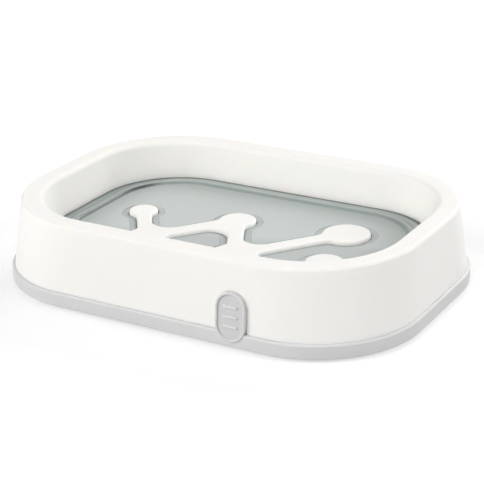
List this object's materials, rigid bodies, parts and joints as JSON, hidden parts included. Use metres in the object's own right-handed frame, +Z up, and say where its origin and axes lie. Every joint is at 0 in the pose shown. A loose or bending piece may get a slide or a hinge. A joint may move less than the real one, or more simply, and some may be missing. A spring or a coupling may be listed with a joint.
{
  "type": "suction soap holder",
  "caption": "Rounded soap dish with a thick rim, a drain plate round a raised zig-zag rib, a base tray that collects water, a pull tab and suction cups underneath.",
  "frame": {"origin": "on the counter, under the middle of the base tray", "axes": "+X along the length, to the right seen from the front; +Y from the front, the side with the pull tab, to the back; +Z up"},
  "size_m": [0.14, 0.1005, 0.0272],
  "materials": {
    "white_plastic": "smooth satin moulded plastic",
    "grey_plastic": "light grey, fine matt moulded plastic",
    "smoked_plastic": "smoked translucent plastic, satin top",
    "soft_cup": "soft translucent cup material, smooth"
  },
  "bodies": {
    "base": {"base_tray": "grey_plastic", "suction_cup_front_left": "soft_cup", "suction_cup_front_right": "soft_cup", "suction_cup_back_left": "soft_cup", "suction_cup_back_right": "soft_cup"},
    "dish": {"dish_body": "white_plastic"},
    "plate": {"drain_plate": "smoked_plastic"}
  },
  "joints": [
    {"name": "dish_lift", "type": "slide", "parent": "base", "child": "dish", "axis": [0, 0, 1], "range_m": [0, 0.04]},
    {"name": "plate_lift", "type": "slide", "parent": "dish", "child": "plate", "axis": [0, 0, 1], "range_m": [0, 0.03]}
  ]
}
